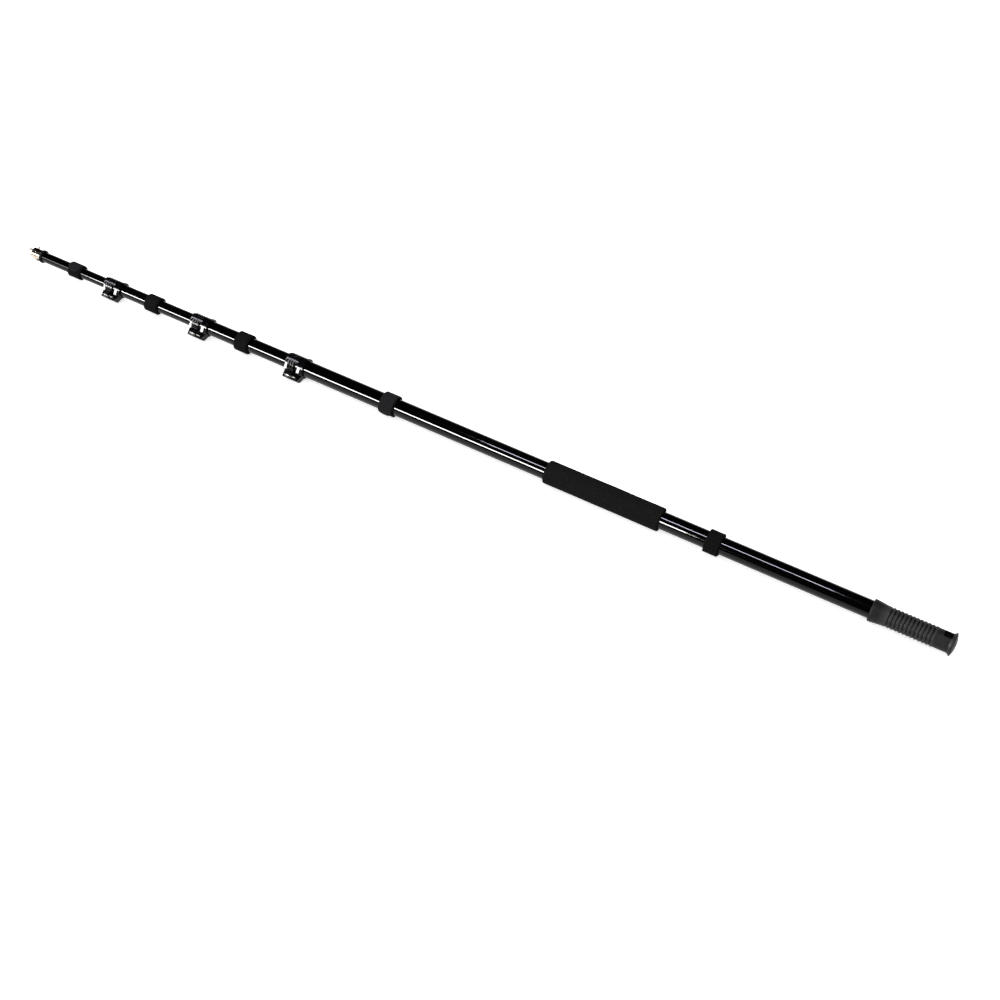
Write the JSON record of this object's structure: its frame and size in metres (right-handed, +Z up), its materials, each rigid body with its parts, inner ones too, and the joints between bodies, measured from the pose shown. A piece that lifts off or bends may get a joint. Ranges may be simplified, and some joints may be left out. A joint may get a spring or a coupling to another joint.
{
  "type": "telescopic boom pole",
  "caption": "Black telescopic microphone boom pole with flip-lever clamps, cable straps, foam hand grip, rubber end grip and a threaded tip.",
  "frame": {"origin": "on the pole's axis, at the shoulder of the microphone thread at the tip", "axes": "+X along the pole from the tip to the butt, +Z up with the pole lying at rest, the clamp ears facing -Y and down"},
  "size_m": [1.507, 0.0419, 0.0384],
  "materials": {
    "tube_anodised": "gloss black anodised",
    "nylon_bush": "matte black nylon",
    "lock_gloss": "gloss black moulded",
    "bright_steel": "bright turned steel",
    "nickel_plate": "polished nickel plate",
    "black_screw": "black oxide",
    "strap_fabric": "black hook-and-loop webbing",
    "grip_foam": "matte charcoal closed-cell foam",
    "grip_rubber": "matte black rubber"
  },
  "bodies": {
    "main_section": {"tube_4": "tube_anodised", "mouth_bush_3": "nylon_bush", "collar_3": "lock_gloss", "eye_bolt_3": "bright_steel", "clamp_nut_3": "bright_steel", "cable_strap_4": "strap_fabric", "cable_strap_5": "strap_fabric", "foam_grip": "grip_foam", "end_grip": "grip_rubber", "butt_plug": "nylon_bush"},
    "section_3": {"tube_3": "tube_anodised", "rear_bush_3": "nylon_bush", "mouth_bush_2": "nylon_bush", "collar_2": "lock_gloss", "eye_bolt_2": "bright_steel", "clamp_nut_2": "bright_steel", "cable_strap_3": "strap_fabric"},
    "section_2": {"tube_2": "tube_anodised", "rear_bush_2": "nylon_bush", "mouth_bush_1": "nylon_bush", "collar_1": "lock_gloss", "eye_bolt_1": "bright_steel", "clamp_nut_1": "bright_steel", "cable_strap_2": "strap_fabric"},
    "section_1": {"tube_1": "tube_anodised", "rear_bush_1": "nylon_bush", "cable_strap_1": "strap_fabric", "tip_plug": "nylon_bush", "thread_stud": "bright_steel", "tip_adapter": "nickel_plate", "set_screw": "black_screw"},
    "lock_lever_3": {"lever_3": "lock_gloss", "pivot_pin_3": "bright_steel"},
    "lock_lever_2": {"lever_2": "lock_gloss", "pivot_pin_2": "bright_steel"},
    "lock_lever_1": {"lever_1": "lock_gloss", "pivot_pin_1": "bright_steel"},
    "thumb_ring": {"lock_ring": "nickel_plate"}
  },
  "joints": [
    {"name": "section_3_slide", "type": "slide", "parent": "main_section", "child": "section_3", "axis": [-1, 0, 0], "range_m": [-0.0665, 0.745]},
    {"name": "section_2_slide", "type": "slide", "parent": "section_3", "child": "section_2", "axis": [-1, 0, 0], "range_m": [-0.061, 0.782]},
    {"name": "section_1_slide", "type": "slide", "parent": "section_2", "child": "section_1", "axis": [-1, 0, 0], "range_m": [-0.047, 0.822]},
    {"name": "lock_lever_3_turn", "type": "hinge", "parent": "main_section", "child": "lock_lever_3", "pos_m": [0.4997, -0.02137, -0.00288], "axis": [1, 0, 0], "range_deg": [0, 115]},
    {"name": "lock_lever_2_turn", "type": "hinge", "parent": "section_3", "child": "lock_lever_2", "pos_m": [0.3257, -0.02014, -0.00201], "axis": [1, 0, 0], "range_deg": [0, 115]},
    {"name": "lock_lever_1_turn", "type": "hinge", "parent": "section_2", "child": "lock_lever_1", "pos_m": [0.1597, -0.01892, -0.00114], "axis": [1, 0, 0], "range_deg": [0, 115]},
    {"name": "thumb_ring_spin", "type": "hinge", "parent": "section_1", "child": "thumb_ring", "pos_m": [0.00425, 0, 0], "axis": [1, 0, 0], "continuous": true}
  ]
}
